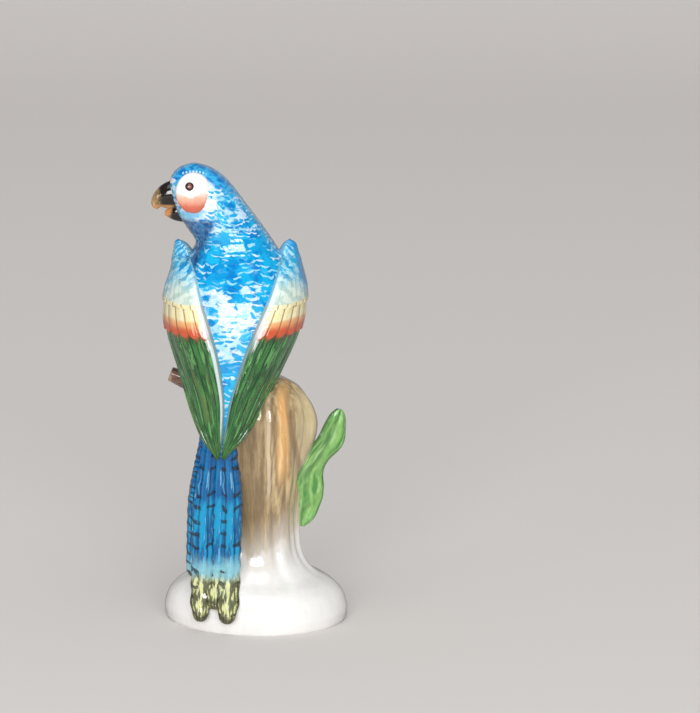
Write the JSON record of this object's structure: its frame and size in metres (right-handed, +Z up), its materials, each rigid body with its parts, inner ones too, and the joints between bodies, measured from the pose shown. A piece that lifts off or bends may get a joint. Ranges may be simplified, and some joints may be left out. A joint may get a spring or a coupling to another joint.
{
  "type": "porcelain bird figurine",
  "caption": "Glazed porcelain parrot perched on a tree stump, seen from behind with its head turned, long tail down the stump to an oval mound foot",
  "frame": {"origin": "middle of the bounding box's footprint, on the plane that the foot ring stands on", "axes": "+Z up; the bird's back and tail face -Y, its breast faces +Y, and its beak points to -X"},
  "size_m": [0.0584, 0.053, 0.1388],
  "materials": {
    "painted_porcelain": "white porcelain painted in enamels under a clear, glossy glaze"
  },
  "bodies": {
    "root": {"parrot_figurine": "painted_porcelain"}
  },
  "joints": []
}
